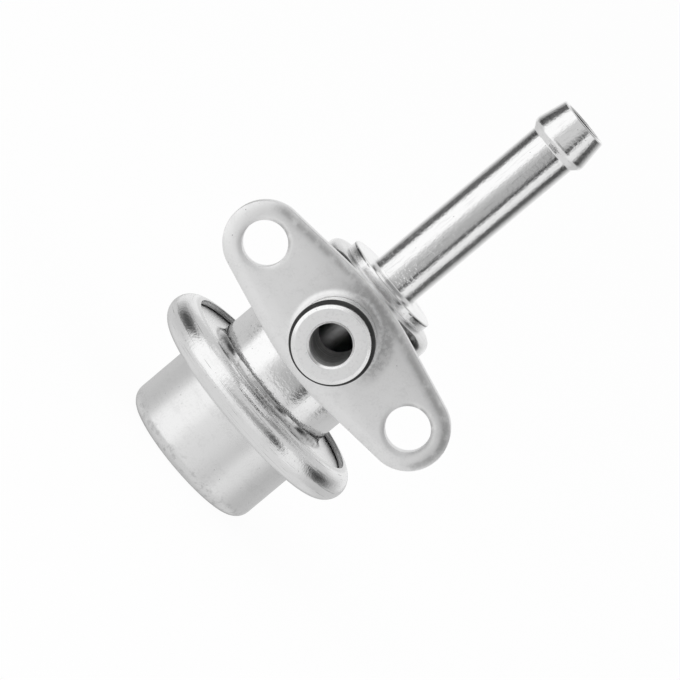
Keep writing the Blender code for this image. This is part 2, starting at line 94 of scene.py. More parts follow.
# Sizes that the finer forms share with the frame
FIT = 0.25 * MM
RIM_FIT = 0.1 * MM
SEAM_FIT = 0.2 * MM
COVER_RADIUS = 11.75 * MM
COVER_SHEET = 0.8 * MM
COVER_CORNER = 2.2 * MM
COVER_DEPTH = 11.25 * MM
COVER_BEND = 0.6 * MM
SEAM_RADIUS = 15.45 * MM
SEAM_ROLL = 2.75 * MM
SEAM_LIP = 0.4 * MM
VENT_RADIUS = 0.8 * MM
VENT_PLACE = 8.35 * MM
CHAMBER_RADIUS = 10.35 * MM
CHAMBER_SHEET = 1.2 * MM
CHAMBER_CORNER = 1.5 * MM
CHAMBER_BEND = 1.3 * MM
PIPE_RADIUS = 4.0 * MM
PIPE_WALL = 1.0 * MM
PIPE_EDGE = 0.25 * MM
BARB_RADIUS = 4.78 * MM
BARB_CONE = 4.7 * MM
BARB_BACK = 1.05 * MM
BARB_CREST = 1.2 * MM
BARB_EASE = 0.06 * MM
COLLAR_RADIUS = 7.85 * MM
COLLAR_EDGE = 0.28 * MM
SPIGOT_BORE = 3.0 * MM
SPIGOT_NOSE_RADIUS = 5.5 * MM
SPIGOT_NOSE_LENGTH = 1.2 * MM
SPIGOT_CHAMFER = 0.32 * MM
SPIGOT_NOSE_SLOPE = 0.5 * MM
SPIGOT_EDGE = 0.05 * MM
SPIGOT_RADIUS = 5.72 * MM
SPIGOT_TAIL_RADIUS = 4.0 * MM
SPIGOT_TAIL_LENGTH = 2.2 * MM
O_RING_SECTION = 0.8 * MM
O_RING_RADIUS = 6.0 * MM
PLATE_TURN = radians(-2.87)
BOLT_SPACING = 32.5 * MM
BOLT_HOLE_RADIUS = 3.25 * MM
PLATE_END_RADIUS = 5.95 * MM
PLATE_HALF_WIDTH = 8.1 * MM
PLATE_SIDE_RADIUS = 40.0 * MM
PLATE_ROLL = 1.9 * MM
PLATE_DROP = 0.36 * MM
PLATE_EDGE = 0.3 * MM
HOLE_ROLL = 0.8 * MM
HOLE_DROP = 0.14 * MM
HOLE_EDGE = 0.12 * MM
PIPE_BRAZE = 0.5 * MM
SPIGOT_BRAZE = 1.1 * MM
BRAZE_TIP = 0.02 * MM
MEMBRANE = 0.9 * MM
MEMBRANE_BEAD = 2.8 * MM
FOLD_RADIUS = 9.3 * MM
FOLD_BEND = 1.0 * MM
FOLD_DEPTH = 1.9 * MM
FOLD_EASE = 0.5 * MM
THREAD_PITCH = 0.6
DISH_SHEET = 0.8 * MM
DISH_BEND = 0.8 * MM
DISH_RADIUS = 7.6 * MM
MEMBRANE_HELD = DISH_RADIUS - DISH_BEND
RETAINER_RIM = 1.4 * MM
SPRING_DISH_RIM = 2.1 * MM
HOLDER_SHANK = 2.5 * MM
HOLDER_HEAD = 4.7 * MM
HOLDER_RIVET = 3.4 * MM
HOLDER_RIVET_LENGTH = 1.1 * MM
BALL_RADIUS = 3.0 * MM
BALL_FLAT = 2.0 * MM
CLIP_LOW = 1.2 * MM
CLIP_THICKNESS = 0.6 * MM
CLIP_RADIUS = 3.9 * MM
BALL_SPRING_WIRE = 0.35 * MM
BALL_SPRING_RADIUS = 1.05 * MM
BALL_SPRING_ROOM = 2.6 * MM
BALL_SPRING_TURNS = 3.0
SEAT_BORE = 1.75 * MM
SEAT_LIP = 0.35 * MM
SEAT_LIP_HEIGHT = 0.5 * MM
SEAT_FLANGE = 0.8 * MM
SEAT_SLEEVE = 3.0 * MM
SPRING_WIRE = 1.4 * MM
SPRING_RADIUS = 5.8 * MM
SPRING_TURNS = 4.4
SPRING_DEAD_TURNS = 0.9
SPRING_DEAD_GAP = 0.15 * MM

# Heights read from the frame
seam_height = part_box("spring_cover")[1].z - SEAM_ROLL
seam_room = SEAM_ROLL - COVER_SHEET
flange_top = seam_height + seam_room - SEAM_FIT
chamber_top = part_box("fuel_chamber")[1].z
pipe_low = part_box("return_pipe")[0].z
pipe_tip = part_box("return_pipe")[1].z
pipe_bore = PIPE_RADIUS - PIPE_WALL
collar_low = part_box("pipe_collar")[0].z
collar_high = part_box("pipe_collar")[1].z
spigot_face = -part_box("inlet_spigot")[0].y
inlet_height = (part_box("inlet_spigot")[0].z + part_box("inlet_spigot")[1].z) / 2
plate_front = -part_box("mounting_plate")[0].y
plate_back = -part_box("mounting_plate")[1].y
rim_radius = SEAM_RADIUS + sqrt((seam_room - RIM_FIT)**2 - (seam_room - SEAM_FIT)**2)
bead_radius = rim_radius - MEMBRANE_BEAD
bead_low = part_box("diaphragm")[0].z
membrane_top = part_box("diaphragm")[1].z
retainer_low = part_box("diaphragm_retainer")[0].z
spring_dish_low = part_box("spring_dish")[1].z - DISH_SHEET
spring_seat_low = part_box("spring_seat")[0].z
head_low = retainer_low + DISH_SHEET + FIT
head_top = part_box("valve_holder")[1].z
ball_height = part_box("valve_ball")[1].z - BALL_FLAT
ball_centre = Vector((0.0, ball_height))
seat_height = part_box("valve_seat")[0].z
socket_radius = BALL_RADIUS + FIT
shank_hole = HOLDER_SHANK + FIT
ball_spring_bore = BALL_SPRING_RADIUS + BALL_SPRING_WIRE / 2 + FIT
inlet_frame = Matrix.Translation((0.0, 0.0, inlet_height)) @ Matrix.Rotation(pi / 2, 4, "X")


# Sections

def turn(arm, angle):
    return Vector((
        arm.x * cos(angle) - arm.y * sin(angle),
        arm.x * sin(angle) + arm.y * cos(angle),
    ))


def arc(centre, arm, sweep, steps):
    """Points round a centre, from the end of an arm on through a sweep."""
    return [centre + turn(arm, sweep * step / steps) for step in range(steps + 1)]


def rounded(corners):
    """A path through corners (radius, height, fillet, steps), with fillets as arcs."""
    path = []
    for index, corner in enumerate(corners):
        here = Vector(corner[:2])
        if len(corner) == 2:
            path.append(here)
            continue
        fillet = corner[2]
        steps = corner[3] if len(corner) > 3 else FILLET_STEPS
        back = (Vector(corners[index - 1][:2]) - here).normalized()
        on = (Vector(corners[(index + 1) % len(corners)][:2]) - here).normalized()
        half = back.angle(on) / 2
        start = here + back * fillet / tan(half)
        end = here + on * fillet / tan(half)
        centre = here + (back + on).normalized() * fillet / sin(half)
        sweep = -(start - centre).angle_signed(end - centre)
        joined = bool(path) and (path[-1] - start).length < SAME_POINT
        path += arc(centre, start - centre, sweep, steps)[int(joined):]
    return path


def beside(path, distance):
    """The path moved to its left by a distance."""
    moved = []
    for index, here in enumerate(path):
        before = path[max(index - 1, 0)]
        after = path[min(index + 1, len(path) - 1)]
        along_in = (here - before).normalized() if index else (after - here).normalized()
        along_out = (after - here).normalized() if index < len(path) - 1 else along_in
        normal = Vector((-along_in.y - along_out.y, along_in.x + along_out.x)).normalized()
        stretch = 1 / max(normal.dot(Vector((-along_in.y, along_in.x))), STEEPEST_MITRE)
        moved.append(here + normal * distance * stretch)
    return moved


def sheet(middle, thickness, round_end=False):
    """The section of a sheet bent along a middle line, with a square or a rounded far end."""
    one = beside(middle, -thickness / 2)
    other = beside(middle, thickness / 2)[::-1]
    cap = []
    if round_end:
        along = (middle[-1] - middle[-2]).normalized()
        arm = one[-1] - middle[-1]
        sense = 1 if turn(arm, pi / 2).dot(along) > 0 else -1
        cap = arc(middle[-1], arm, sense * pi, FILLET_STEPS)[1:-1]
    return one + cap + other


# Node trees written as expressions

def operator(operation):
    """A method that joins a value and another through a Math node."""
    return lambda value, other: value.maths(operation, other)


class Value:
    """A socket in a node tree, on which Python's operators add Math nodes."""

    def __init__(self, socket):
        self.tree = socket.id_data
        self.socket = socket

    def maths(self, operation, *others):
        node = self.tree.nodes.new("ShaderNodeMath")
        node.operation = operation
        feed(node, dict(enumerate((self, *others))))
        return Value(node.outputs[0])

    __add__ = __radd__ = operator("ADD")
    __mul__ = __rmul__ = operator("MULTIPLY")
    __sub__ = operator("SUBTRACT")
    __truediv__ = operator("DIVIDE")
    __mod__ = operator("MODULO")
    __pow__ = operator("POWER")
    over = operator("MAXIMUM")
    under = operator("MINIMUM")

    def __rsub__(self, other):
        return self.maths("MULTIPLY_ADD", -1.0, other)

    def __abs__(self):
        return self.maths("ABSOLUTE")

    def output(self, name):
        return Value(self.socket.node.outputs[name])

    def fade(self, low, high):
        """0 below low and 1 above high, or the reverse where low is the greater."""
        node = self.tree.nodes.new("ShaderNodeMapRange")
        node.interpolation_type = "SMOOTHSTEP"
        feed(node, {"Value": self, "From Min": low, "From Max": high})
        return Value(node.outputs[0])

    def band(self, low, full, last, high):
        """1 from full to last, and 0 below low and above high."""
        return self.fade(low, full) * self.fade(high, last)


def feed(node, inputs):
    """Links a node's inputs to values, or sets them to what isn't one. None leaves them."""
    for name, item in inputs.items():
        if isinstance(item, Value):
            item.tree.links.new(item.socket, node.inputs[name])
        elif item is not None:
            node.inputs[name].default_value = item


def whole_colour(item):
    """A linked colour as it is, the grey of one number, or three numbers with an alpha."""
    if isinstance(item, Value):
        return item
    return (item, item, item, 1.0) if isinstance(item, float) else (*item, 1.0)


class Tree:
    """A node tree whose nodes are of one family unless another is named."""

    def __init__(self, tree, family="ShaderNode"):
        self.tree = tree
        self.family = family

    def node(self, kind, inputs=None, settings=None, output=0, family=None):
        """Adds a node, with its settings before its sockets, and gives one of its outputs."""
        made = self.tree.nodes.new((family or self.family) + kind)
        for name, setting in (settings or {}).items():
            setattr(made, name, setting)
        feed(made, inputs or {})
        return Value(made.outputs[output])

    def ramp(self, factor, stops):
        """A ramp of greys through stops (place, level)."""
        made = self.node("ValToRGB", {"Fac": factor})
        elements = made.socket.node.color_ramp.elements
        while len(elements) > 1:
            elements.remove(elements[-1])
        for index, (place, level) in enumerate(stops):
            element = elements[0] if index == 0 else elements.new(place)
            element.position = place
            element.color = whole_colour(float(level))
        return made

    def parts(self, vector):
        x = self.node("SeparateXYZ", {"Vector": vector}, family="ShaderNode")
        return x, x.output("Y"), x.output("Z")

    def vector(self, x, y, z):
        return self.node("CombineXYZ", {"X": x, "Y": y, "Z": z}, family="ShaderNode")

    def mix(self, factor, one, other):
        return self.node("Mix", {0: factor, 2: one, 3: other})

    def blend(self, factor, one, other, kind="MIX"):
        """A colour between two others, each a value, a grey or three numbers."""
        return self.node(
            "Mix", {0: factor, 6: whole_colour(one), 7: whole_colour(other)},
            {"data_type": "RGBA", "blend_type": kind}, output=2,
        )


class Paint(Tree):
    """A Principled material with its colour and relief so far, measured in millimetres."""

    def __init__(self, name):
        self.colour = None
        self.normal = None
        self.material = bpy.data.materials.new(name)
        self.material.use_nodes = True
        super().__init__(self.material.node_tree)
        self.shader = self.tree.nodes["Principled BSDF"]
        place = self.node("TexCoord", output=3)
        self.place = self.node(
            "VectorMath", {"Vector": place, "Scale": 1 / MM}, {"operation": "SCALE"}
        )
        self.x, self.y, self.z = self.parts(self.place)

    def reach(self, height=None):
        """The distance from the Z axis, or from the spigot's axis by the height over it."""
        other = self.y if height is None else height
        return (self.x * self.x + other * other) ** 0.5

    def noise(self, scale, detail=4.0, roughness=0.6, at=None):
        """Noise from 0 to 1, whose scale is its cells in a millimetre."""
        return self.node("TexNoise", {
            "Vector": at or self.place, "Scale": scale, "Detail": detail, "Roughness": roughness,
        })

    def dimples(self, scale):
        return self.noise(scale, 1.5, 0.5)

    def rolled(self, across, along, roughness=0.6):
        """Noise drawn out round the Z axis, as rolling and polishing leave it."""
        return self.node("TexNoise", {
            "Vector": self.vector(self.x * along, self.y * along, self.z * across),
            "W": self.reach() * across, "Scale": 1.0, "Detail": 4.0, "Roughness": roughness,
        }, {"noise_dimensions": "4D"})

    def drawn(self, across, along, detail=4.0, roughness=0.6):
        """Noise drawn out along the Z axis."""
        at = self.vector(self.x * across, self.y * across, self.z * along)
        return self.noise(1.0, detail, roughness, at=at)

    def pits(self, scale, size, share):
        """Small round marks of a size, on a share of the cells of a random pattern."""
        cells = self.node("TexVoronoi", {"Vector": self.place, "Scale": scale})
        lot = self.node("SeparateColor", {"Color": cells.output("Color")})
        return cells.fade(size, size * 0.4) * lot.maths("LESS_THAN", share)

    def stain(self, amount, tone, kind="MIX"):
        self.colour = self.blend(amount, self.colour, tone, kind)

    def relief(self, height, distance):
        """Adds a Bump for a height whose full range is a distance."""
        self.normal = self.node("Bump", {
            "Height": height, "Distance": distance * MM, "Normal": self.normal,
        })

    def surface(self, roughness, metallic=1.0, specular=0.5):
        feed(self.shader, {
            "Base Color": whole_colour(self.colour), "Roughness": roughness,
            "Metallic": metallic, "Specular IOR Level": specular, "Normal": self.normal,
        })
        return self.material


# Finishes

# Where a mark starts and where it is full, in millimetres: on a height, a distance from the
# piece's axis, or a depth. Four numbers are a mark that starts, is full, and ends again.
SEAM_START = (12.4, 13.2)
CUP_FOOT = (1.2, 0.2)
CUP_SIDE = (9.2, 10.2)
CUP_SMUDGES = (3.6, 1.4)
NECK_REFLECTION_RING = (16.5, 15.9)
NECK_REFLECTION_TOP = (16.3, 16.55)
LIP_RING = (15.6, 15.35)
LIP_TOP = (15.6, 15.9)
LIP_SHADE = (16.5, 16.05)
NECK = (15.9, 16.4, 36.6, 37.4)
NECK_FOOT = (15.78, 15.95, 16.4, 17.6)
SWELL_TOP = (25.5, 17.2)
SWELL_FRONT = (-4.5, -8.5)
CORNER_LOW = (36.1, 37.0)
CORNER_TOP = (37.68, 37.5)
CORNER_SIDE = (-11.2, -11.6)
COLLAR_CREASE = (38.9, 39.0, 39.1, 39.2)
COLLAR_SIDES = (3.8, 4.8)
PIPE_SHOWN = (37.0, 38.0)
PIPE_OUTSIDE = (3.1, 3.2)
PIPE_INSIDE = (3.1, 3.05)
BORE_SHOWN = (60.0, 62.0)
HALO_REACH = (8.8, 7.2)
HALO_START = (5.8, 6.2)
ROLL_SHADE_DEPTH = (-0.01, 0.1, 0.12, 0.4)
ROLL_SHADE_SIDE = (-1.0, 3.0)
PLATE_BOW = (8.6, 3.4)
SPIGOT_BORED = (3.04, 2.98)

# The tone of plating, its dull tone, its roughness, the depth of its grain and of its peel in
# millimetres, and the share of pits
CUP_PLATING = (0.95, 0.87, 0.36, 0.006, 0.003, 0.04)
CHAMBER_PLATING = (0.97, 0.88, 0.34, 0.01, 0.015, 0.1)
COLLAR_PLATING = (0.97, 0.86, 0.18, 0.014, 0.018, 0.1)
PLATE_PLATING = (0.97, 0.9, 0.42, 0.012, 0.005, 0.025)

# Greys of marks on the plating, and of the shade and reflections painted on it
PITS = 0.25
DARK_GREY = 0.36
SHADE_AND_DRILL_MARKS = 0.4
NECK_REFLECTION_GREY = 0.42
SHADE = 0.1
DEEP_SHADE = 0.05
NECK_FOOT_SHADE = 0.35
FOOT_SPECK_TONE = (0.2, 0.19, 0.18)
CREASE_SHADE = 0.12
MOUTH_SHADE = 0.2
TOOL_MARKS = 0.3


def plated(paint, grain, tone, dull, gloss, wave, peel, pit_share):
    """Zinc plate: stains, gloss that varies, lines along the grain, fine peel and pits."""
    clouds = paint.noise(0.35)
    specks = paint.noise(3.2, roughness=0.65)
    marks = paint.pits(2.0, 0.2, pit_share)
    stain = (clouds * 0.35 + grain * 0.3 + specks * 0.35).fade(0.47, 0.66)
    paint.colour = paint.blend(stain, tone, dull)
    paint.stain(marks * 0.7, PITS)
    gloss = (gloss + (clouds - 0.5) * 0.1 + (specks - 0.5) * 0.1 + marks * 0.2).over(0.03)
    paint.relief(grain, wave)
    paint.relief(paint.dimples(2.3), peel)
    return gloss


def cover_finish():
    """Satin cup darker at its foot, a seam that rolling has burnished in lines, a painted dark
    reflection of the neck inside the seam, and a duller lip edge with painted shade.
    """
    paint = Paint("zinc_spring_cover")
    reach = paint.reach()
    seam = reach.fade(*SEAM_START)
    roughness = plated(paint, paint.rolled(1.6, 0.22), *CUP_PLATING)
    paint.stain(1 - seam, 0.92, "MULTIPLY")
    # The cup's side is made darker towards its foot, and in smudges that grow lower down.
    foot = paint.z.fade(*CUP_FOOT) * reach.fade(*CUP_SIDE)
    smudge = paint.noise(1.1, 5.0, 0.65).fade(0.5, 0.64)
    darker_foot = foot * (0.65 + smudge * 0.35) + smudge * paint.z.fade(*CUP_SMUDGES) * 0.5
    paint.stain(darker_foot.under(1.0) * (1 - seam) * 0.6, DARK_GREY)
    lines = paint.rolled(5.5, 0.08, 0.65)
    scuffs = lines.fade(0.57, 0.66) * paint.noise(0.4, 3.0, 0.5).fade(0.38, 0.58)
    paint.stain(scuffs * seam * 0.7, DARK_GREY)
    # Painted dark reflection of the neck on the seam's inner slope.
    paint.stain(reach.fade(*NECK_REFLECTION_RING) * paint.z.fade(*NECK_REFLECTION_TOP) * 0.55, NECK_REFLECTION_GREY)
    lip = reach.fade(*LIP_RING) * paint.z.fade(*LIP_TOP)
    paint.stain(paint.z.fade(*LIP_SHADE) * lip * 0.9, SHADE)
    gloss = paint.mix(lip, paint.mix(seam, roughness - 0.14, roughness - 0.21), 0.35)
    paint.relief(lines * seam, 0.022)
    paint.relief(paint.dimples(2.6) * seam, 0.026)
    return paint.surface(gloss)


def chamber_finish():
    """Bright neck on a satin flange, with painted shade and dark specks at its foot, and painted
    shade in its upper corner behind the plate.
    """
    paint = Paint("zinc_fuel_chamber")
    roughness = plated(paint, paint.rolled(1.2, 0.3), *CHAMBER_PLATING)
    foot = paint.z.band(*NECK_FOOT)
    foot_specks = paint.noise(1.8, 5.0, 0.7).fade(0.52, 0.66) * foot
    # Painted shade in the bend at the neck's foot, with dark specks along it.
    paint.stain(foot * 0.5, NECK_FOOT_SHADE)
    paint.stain(foot_specks * 0.6, FOOT_SPECK_TONE)
    # Painted shade in the chamber's upper corner behind the plate, with broken edges.
    shade_noise = paint.noise(1.2)
    corner = (paint.z + shade_noise * 0.8).fade(*CORNER_LOW) * paint.z.fade(*CORNER_TOP)
    corner = corner * (paint.y - abs(paint.x) * 0.75 + shade_noise * 0.4).fade(*CORNER_SIDE)
    corner = corner * (0.8 + shade_noise.fade(0.4, 0.6) * 0.2)
    paint.stain(corner * 0.95, DEEP_SHADE)
    gloss = paint.mix(paint.z.band(*NECK), roughness, roughness - 0.22) + foot_specks * 0.25
    paint.relief(paint.z.fade(*SWELL_TOP) * paint.y.fade(*SWELL_FRONT), 0.38)
    return paint.surface(gloss)


def collar_finish():
    paint = Paint("zinc_pipe_collar")
    roughness = plated(paint, paint.rolled(2.4, 0.3), *COLLAR_PLATING)
    # Painted shade in a crease round the collar, on its left and right sides only.
    crease_shade = paint.z.band(*COLLAR_CREASE) * abs(paint.x).fade(*COLLAR_SIDES)
    crease_shade = crease_shade * paint.noise(1.4).fade(0.36, 0.5)
    paint.stain(crease_shade * 0.85, CREASE_SHADE)
    return paint.surface(roughness)


def pipe_finish():
    """Bright tube drawn along its length. The plating is dull inside the chamber and the bore."""
    paint = Paint("zinc_return_pipe")
    lines = paint.drawn(3.4, 0.35)
    ripple = paint.drawn(1.1, 0.25, 3.0, 0.5)
    marks = paint.pits(1.6, 0.16, 0.08)
    reach = paint.reach()
    end = pipe_tip / MM
    # Painted shade down inside the pipe's mouth.
    mouth = reach.fade(*PIPE_INSIDE) * paint.z.fade(end - 0.12, end - 0.35)
    mouth = mouth * paint.z.fade(*BORE_SHOWN)
    paint.colour = paint.blend(lines.fade(0.5, 0.75), 0.97, 0.86)
    paint.stain(marks * 0.7, PITS)
    paint.stain(mouth, MOUTH_SHADE)
    gloss = 0.05 + ripple.fade(0.4, 0.75) * 0.05 + marks * 0.1
    gloss = gloss + paint.noise(1.6, 2.0).fade(0.48, 0.66) * 0.14
    bright = paint.z.fade(*PIPE_SHOWN) * reach.fade(*PIPE_OUTSIDE)
    paint.relief(ripple, 0.01)
    paint.relief(lines, 0.01)
    paint.relief(paint.dimples(2.4), 0.022)
    return paint.surface(paint.mix(bright, 0.45, gloss))


def plate_finish():
    """Satin plate, bowed a little by its punching, with a painted dark reflection of the spigot
    above it and painted shade along its upper rolled edge.
    """
    paint = Paint("zinc_mounting_plate")
    height = paint.z - inlet_height / MM
    along = paint.x * cos(PLATE_TURN) + height * sin(PLATE_TURN)
    across = height * cos(PLATE_TURN) - paint.x * sin(PLATE_TURN)
    reach = paint.reach(height)
    grain = paint.noise(0.8, 5.0)
    roughness = plated(paint, grain, *PLATE_PLATING)
    # Painted dark reflection of the spigot on the plate, above it and to its right.
    spigot_reflection = (reach + (grain - 0.5) * 2.0).fade(*HALO_REACH) * reach.fade(*HALO_START)
    spigot_reflection = spigot_reflection * ((height * 0.85 + paint.x * 0.5) / reach).fade(0.1, 0.75)
    spigot_reflection = spigot_reflection * (0.55 + paint.noise(2.0, 3.0).fade(0.4, 0.6) * 0.45)
    paint.stain(spigot_reflection * 0.65, SHADE_AND_DRILL_MARKS)
    end = BOLT_SPACING / 2 / MM
    # Painted shade, mottled, along the rolled edge of the plate's upper side and right end.
    upper = (along - along.over(-end).under(end)) * 1.1 + across
    roll_shade = (paint.y + plate_front / MM).band(*ROLL_SHADE_DEPTH) * upper.fade(*ROLL_SHADE_SIDE)
    roll_shade = roll_shade * paint.noise(0.7).fade(0.2, 0.6)
    paint.stain(roll_shade * 0.64, SHADE_AND_DRILL_MARKS)
    paint.relief(abs(across).fade(*PLATE_BOW), 0.22)
    return paint.surface(roughness)


def spigot_finish():
    """Turned steel with tool marks round the spigot's axis, and a dull drilled bore."""
    paint = Paint("turned_spigot_steel")
    reach = paint.reach(paint.z - inlet_height / MM)
    rings = paint.noise(1.0, 3.0, at=paint.vector(reach * 6.0, paint.y * 3.2, 0.0))
    at = paint.vector(paint.x * 0.1, paint.y * 1.4, paint.z * 0.1)
    threads = paint.noise(1.0, roughness=0.7, at=at)
    specks = paint.noise(2.3, 2.0)
    marks = paint.pits(2.2, 0.2, 0.04)
    bore = reach.fade(*SPIGOT_BORED)
    nose = (SPIGOT_NOSE_RADIUS - SPIGOT_NOSE_SLOPE) / MM
    mouth = (SPIGOT_BORE + SPIGOT_CHAMFER) / MM
    slope = reach.fade(nose - 0.03, nose + 0.03) + reach.fade(mouth + 0.03, mouth - 0.03)
    paint.colour = paint.blend(specks.fade(0.5, 0.75), 0.98, 0.9)
    # The bore is darker, most along its drill marks.
    paint.stain(bore * (0.2 + threads.fade(0.42, 0.56) * 0.75), SHADE_AND_DRILL_MARKS)
    paint.stain(marks * 0.6, TOOL_MARKS)
    gloss = 0.42 + (rings - 0.5) * 0.14 + marks * 0.1 - slope * (1 - bore) * 0.2
    paint.relief(rings, 0.012)
    paint.relief(specks, 0.012)
    paint.relief(threads * bore, 0.1)
    return paint.surface(gloss, metallic=0.92 - bore * 0.4)


def rubber_finish():
    paint = Paint("black_o_ring_rubber")
    grain = paint.noise(3.0)
    dust = paint.noise(0.8, 3.0, 0.5).fade(0.55, 0.8)
    paint.colour = paint.blend(dust, 0.012, (0.035, 0.034, 0.033))
    paint.relief(grain, 0.02)
    return paint.surface(0.38 + grain * 0.2, metallic=0.0)


def membrane_finish():
    paint = Paint("fabric_rubber_membrane")
    pitch = 2 * pi / THREAD_PITCH
    weave = (paint.x * pitch).maths("SINE") * (paint.y * pitch).maths("SINE") * 0.5 + 0.5
    grain = paint.noise(2.0, roughness=0.5)
    paint.colour = paint.blend(grain, (0.035, 0.028, 0.02), (0.08, 0.065, 0.05))
    paint.relief(weave, 0.03)
    return paint.surface(0.62 + grain * 0.15, metallic=0.0)


def metal_finish(name, tone, dull, gloss, spread, across, along):
    """A metal turned or drawn on the Z axis, whose tone and gloss vary with its grain."""
    paint = Paint(name)
    grain = paint.rolled(across, along)
    paint.colour = paint.blend(paint.noise(0.6, roughness=0.5), tone, dull)
    paint.relief(grain, 0.012)
    return paint.surface(gloss + grain * spread)


# Geometry Nodes trees that turn a section round and wind a spring

def node_group(name, **sockets):
    """A tree with a geometry output, its given values, and what ends it."""
    group = bpy.data.node_groups.new(name, "GeometryNodeTree")
    for label, kind in sockets.items():
        group.interface.new_socket(label, in_out="INPUT", socket_type="NodeSocket" + kind)
    group.interface.new_socket("form", in_out="OUTPUT", socket_type="NodeSocketGeometry")
    given = group.nodes.new("NodeGroupInput")
    values = [Value(given.outputs[label]) for label in sockets]
    made = Tree(group, "GeometryNode")

    def finish_form(form, finish):
        whole = made.node("RealizeInstances", {"Geometry": form})
        painted = made.node("SetMaterial", {"Geometry": whole, "Material": finish})
        end = group.nodes.new("NodeGroupOutput")
        group.links.new(painted.socket, end.inputs[0])
        return group

    return made, values, finish_form


def turning_tree():
    """Turns a section, a row of points in the XZ plane, through an angle round the Z axis."""
    made, (section, rounds, angle, join, finish), finish_form = node_group(
        "turned_form", section="Geometry", rounds="Int", angle="Float", join="Float",
        finish="Material",
    )
    count = made.node("AttributeDomainSize", {"Geometry": section})
    grid = made.node("MeshGrid", {"Vertices X": rounds + 1, "Vertices Y": count})
    index = made.node("InputIndex")
    along = (index + 0.5) % count - 0.5
    place = made.node("SampleIndex", {
        "Geometry": section, "Value": made.node("InputPosition"),
        "Index": (along + 0.25).maths("FLOOR"),
    }, {"data_type": "FLOAT_VECTOR"})
    radius, _, height = made.parts(place)
    turned_to = ((index + 0.5) / count).maths("FLOOR") * angle / rounds
    form = made.node("SetPosition", {
        "Geometry": grid,
        "Position": made.vector(
            turned_to.maths("COSINE") * radius, turned_to.maths("SINE") * radius, height
        ),
    })
    form = made.node("MergeByDistance", {"Geometry": form, "Distance": join})
    return finish_form(form, finish)


def spring_tree():
    """Winds a compression spring along Z, with end turns that lie close."""
    made, values, finish_form = node_group(
        "compression_spring", radius="Float", wire="Float", low="Float", high="Float",
        turns="Float", dead_turns="Float", dead_gap="Float", finish="Material",
    )
    radius, wire, low, high, turns, dead, gap, finish = values
    line = made.node("CurvePrimitiveLine")
    line = made.node("ResampleCurve", {"Curve": line, "Count": COIL_POINTS})
    wound = made.node("SplineParameter") * turns
    close = wire + gap
    live = turns - dead * 2
    live_pitch = (high - low - wire - close * dead * 2) / live
    height = (
        low + wire * 0.5
        + wound.under(dead) * close
        + (wound - dead).over(0.0).under(live) * live_pitch
        + (wound - turns + dead).over(0.0) * close
    )
    angle = wound * (2 * pi)
    place = made.vector(angle.maths("COSINE") * radius, angle.maths("SINE") * radius, height)
    coil = made.node("SetPosition", {"Geometry": line, "Position": place})
    ring = made.node("CurvePrimitiveCircle", {"Resolution": WIRE_ROUNDS, "Radius": wire * 0.5})
    form = made.node("CurveToMesh", {"Curve": coil, "Profile Curve": ring, "Fill Caps": True})
    return finish_form(form, finish)


def new_piece(name, mesh):
    piece = bpy.data.objects.new(name, mesh)
    bpy.context.scene.collection.objects.link(piece)
    return piece


def made_plain(piece):
    """Makes the evaluated form the piece's own mesh, with no modifier left."""
    graph = bpy.context.evaluated_depsgraph_get()
    mesh = bpy.data.meshes.new_from_object(piece.evaluated_get(graph))
    piece.modifiers.clear()
    piece.data = mesh


def shade(piece, sharp=SHARP_ANGLE):
    """Smooth round faces between sharp edges, with straight walls led by their larger faces."""
    piece.data.shade_smooth()
    piece.data.set_sharp_from_angle(angle=sharp)
    even = piece.modifiers.new("even shading", "WEIGHTED_NORMAL")
    even.keep_sharp = True
    return piece


def tidy(piece, build, place=None, sharp=SHARP_ANGLE):
    """Merges doubles, fills open ends, turns faces outwards and shades the piece."""
    bmesh.ops.remove_doubles(build, verts=build.verts, dist=SAME_VERTEX)
    bmesh.ops.holes_fill(build, edges=[edge for edge in build.edges if edge.is_boundary])
    bmesh.ops.recalc_face_normals(build, faces=build.faces)
    if place:
        bmesh.ops.transform(build, matrix=place, verts=build.verts)
    build.to_mesh(piece.data)
    build.free()
    return shade(piece, sharp)


def grown(name, mesh, tree, place=None, sharp=SHARP_ANGLE, **inputs):
    """A piece that a Geometry Nodes tree makes from its named inputs."""
    piece = new_piece(name, mesh)
    modifier = piece.modifiers.new("form", "NODES")
    modifier.node_group = tree
    for item in tree.interface.items_tree:
        if item.in_out == "INPUT" and item.name in inputs:
            modifier[item.identifier] = inputs[item.name]
    made_plain(piece)
    build = bmesh.new()
    build.from_mesh(piece.data)
    return tidy(piece, build, place, sharp)


turning = turning_tree()
winding = spring_tree()


def turned(name, section, finish, rounds=MEDIUM_ROUNDS, place=None, angle=2 * pi):
    """A solid of revolution, or a ring where the section's ends lie off the axis."""
    on_axis = max(section[0].x, section[-1].x) < SAME_VERTEX
    points = section if on_axis else section + section[:1]
    mesh = bpy.data.meshes.new(name)
    mesh.from_pydata([(point.x, 0.0, point.y) for point in points], [], [])
    return grown(
        name, mesh, turning, place, rounds=rounds, angle=angle, join=SAME_VERTEX, finish=finish
    )


def section_of(*corners):
    """A section through corners (radius, height)."""
    return [Vector(corner) for corner in corners]


def bored(piece, radius, low, high, place):
    """The piece with a round hole cut through it along the placed Z axis."""
    section = section_of((0.0, low), (radius, low), (radius, high), (0.0, high))
    drill = turned(piece.name + "_drill", section, None, SMALL_ROUNDS, place)
    modifier = piece.modifiers.new("hole", "BOOLEAN")
    modifier.operation = "DIFFERENCE"
    modifier.solver = "EXACT"
    modifier.object = drill
    made_plain(piece)
    bpy.data.objects.remove(drill)
    return shade(piece)


# The pieces that show

